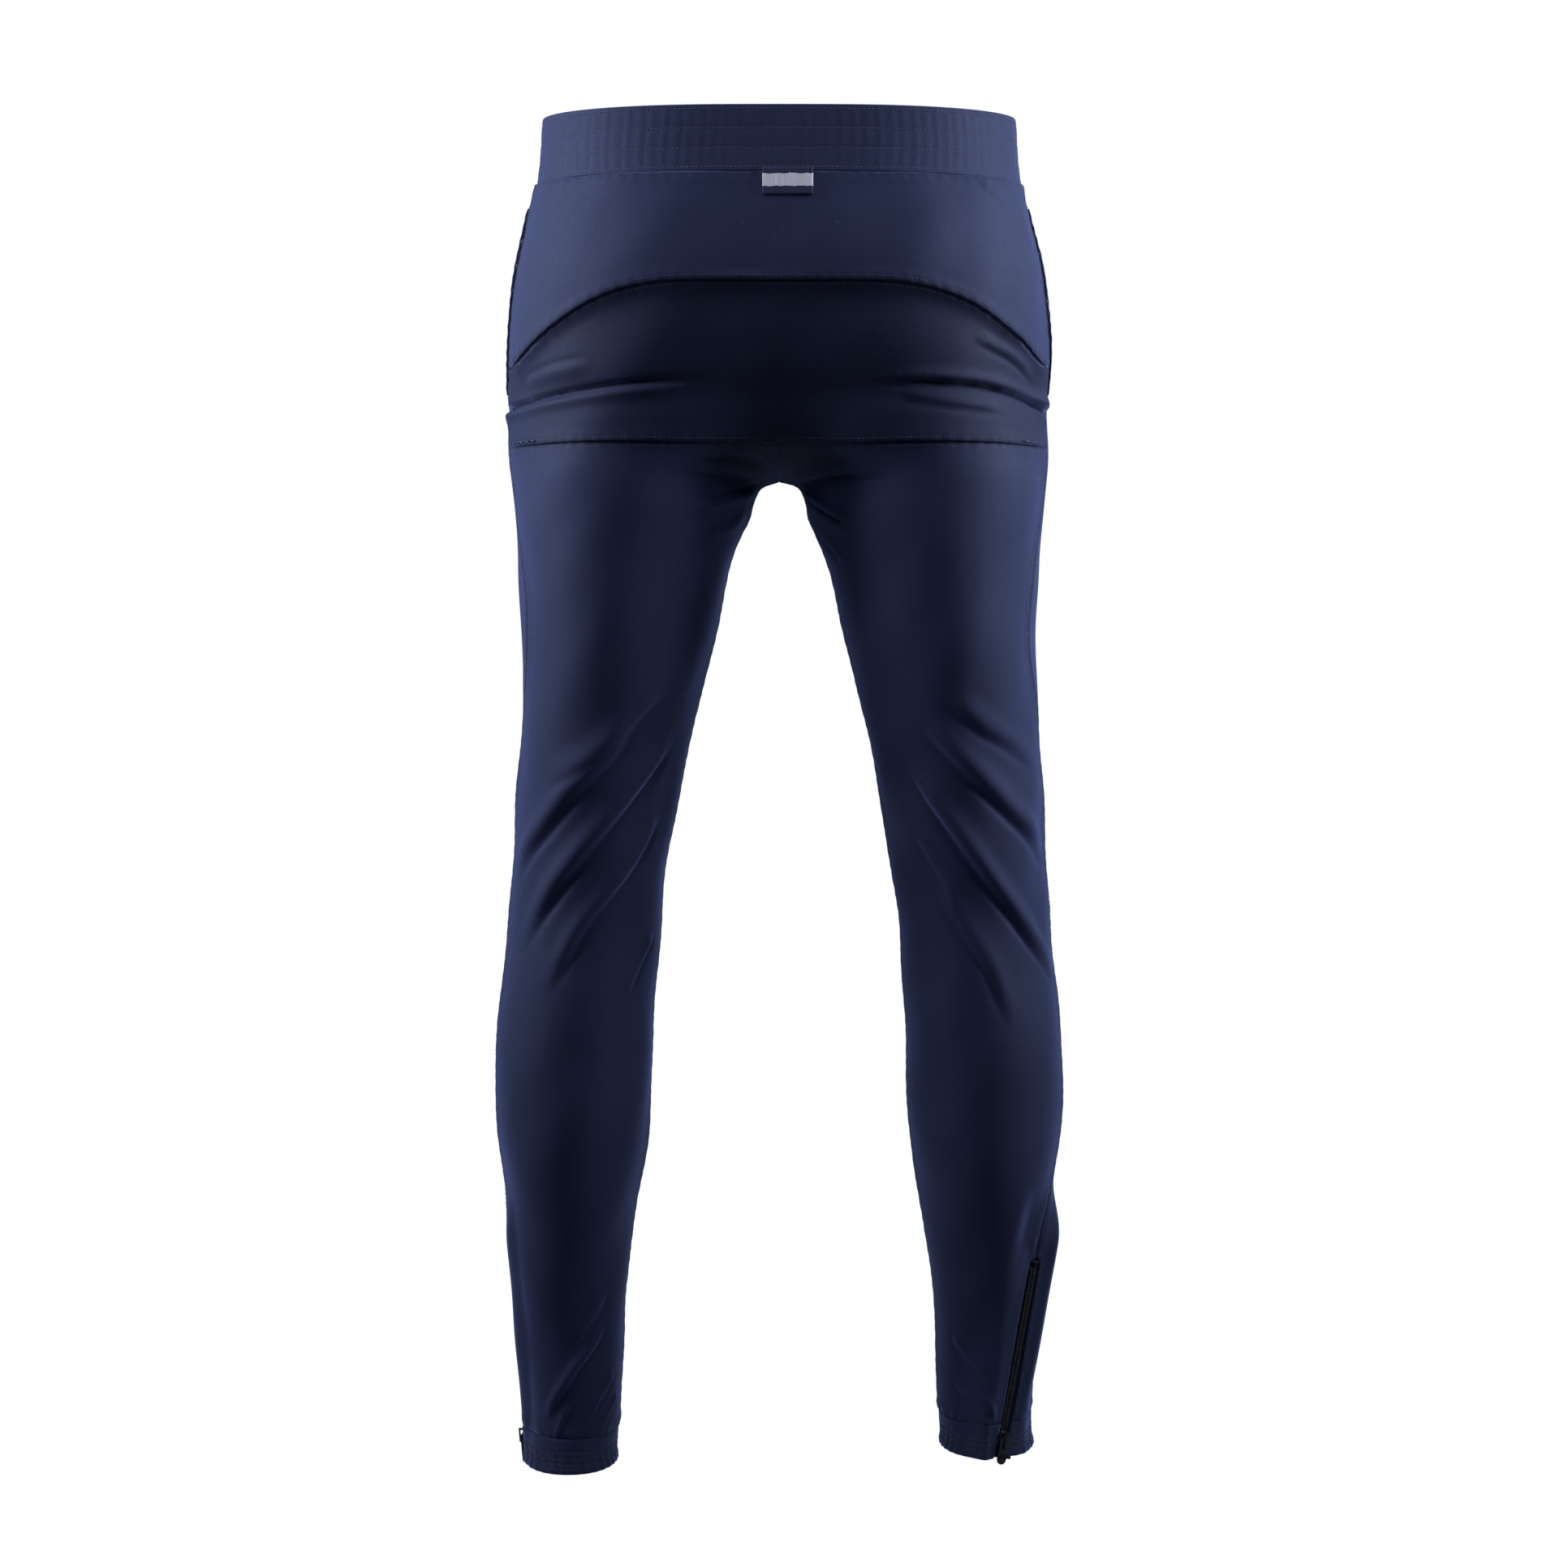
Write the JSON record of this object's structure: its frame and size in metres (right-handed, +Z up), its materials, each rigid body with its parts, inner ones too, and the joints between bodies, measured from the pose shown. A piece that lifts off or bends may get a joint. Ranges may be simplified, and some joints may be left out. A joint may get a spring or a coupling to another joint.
{
  "type": "hockey pants",
  "caption": "Slim tapered training trousers with an elastic waistband, arched back yoke, side pockets and straight ankle zips whose sliders and pulls move.",
  "frame": {"origin": "centre of the waist opening, level with the top edge of the waistband", "axes": "+X towards the wearer's right, +Y towards the wearer's front, +Z up"},
  "size_m": [0.4201, 0.2317, 1.0021],
  "materials": {
    "trouser_cloth": "matt woven stretch polyester with a soft blue sheen at grazing angles",
    "seat_cloth": "the same cloth, a little darker and more matt under the seat",
    "hem_cloth": "the same cloth folded and cover-stitched in wavy rows",
    "elastic_webbing": "ribbed woven elastic",
    "lining_cloth": "fine knitted lining",
    "tab_tape": "plain pale woven tape",
    "zip_tape": "fine twill zip tape",
    "zip_coil": "moulded nylon coil",
    "painted_metal": "satin dark enamel on zinc alloy",
    "pull_rubber": "soft moulded rubber"
  },
  "bodies": {
    "garment": {"waistband_outer": "trouser_cloth", "waistband_elastic": "elastic_webbing", "waistband_lining": "lining_cloth", "hanging_tab": "tab_tape", "back_yoke": "trouser_cloth", "seat_panel": "seat_cloth", "back_leg_left": "trouser_cloth", "side_panel_left": "trouser_cloth", "front_panel_left": "trouser_cloth", "hem_band_left": "hem_cloth", "pocket_bag_left": "lining_cloth", "pocket_welt_left": "trouser_cloth", "drawcord_eyelet_left": "painted_metal", "ankle_zip_tape_front_left": "zip_tape", "ankle_zip_coil_front_left": "zip_coil", "ankle_zip_tape_back_left": "zip_tape", "ankle_zip_coil_back_left": "zip_coil", "ankle_zip_facing_left": "zip_tape", "ankle_zip_bottom_stop_left": "painted_metal", "ankle_zip_top_stop_left": "painted_metal", "back_leg_right": "trouser_cloth", "side_panel_right": "trouser_cloth", "front_panel_right": "trouser_cloth", "hem_band_right": "hem_cloth", "pocket_bag_right": "lining_cloth", "pocket_welt_right": "trouser_cloth", "drawcord_eyelet_right": "painted_metal", "ankle_zip_tape_front_right": "zip_tape", "ankle_zip_coil_front_right": "zip_coil", "ankle_zip_tape_back_right": "zip_tape", "ankle_zip_coil_back_right": "zip_coil", "ankle_zip_facing_right": "zip_tape", "ankle_zip_bottom_stop_right": "painted_metal", "ankle_zip_top_stop_right": "painted_metal"},
    "zip_slider_left": {"ankle_zip_slider_left": "painted_metal"},
    "zip_pull_left": {"ankle_zip_pull_left": "pull_rubber"},
    "zip_slider_right": {"ankle_zip_slider_right": "painted_metal"},
    "zip_pull_right": {"ankle_zip_pull_right": "pull_rubber"}
  },
  "joints": [
    {"name": "ankle_zip_slide_left", "type": "slide", "parent": "garment", "child": "zip_slider_left", "axis": [-0.0729, -0.0984, 0.9925], "range_m": [0, 0.124]},
    {"name": "zip_pull_swing_left", "type": "hinge", "parent": "zip_slider_left", "child": "zip_pull_left", "pos_m": [-0.1917, 0.0098, -0.9795], "axis": [0.1177, 0.9873, 0.1065], "range_deg": [0, 170]},
    {"name": "ankle_zip_slide_right", "type": "slide", "parent": "garment", "child": "zip_slider_right", "axis": [0.1874, 0.0536, 0.9808], "range_m": [0, 0.124]},
    {"name": "zip_pull_swing_right", "type": "hinge", "parent": "zip_slider_right", "child": "zip_pull_right", "pos_m": [0.16601, -0.04971, -0.97637], "axis": [-0.7861, -0.5906, 0.1824], "range_deg": [0, 170]}
  ]
}
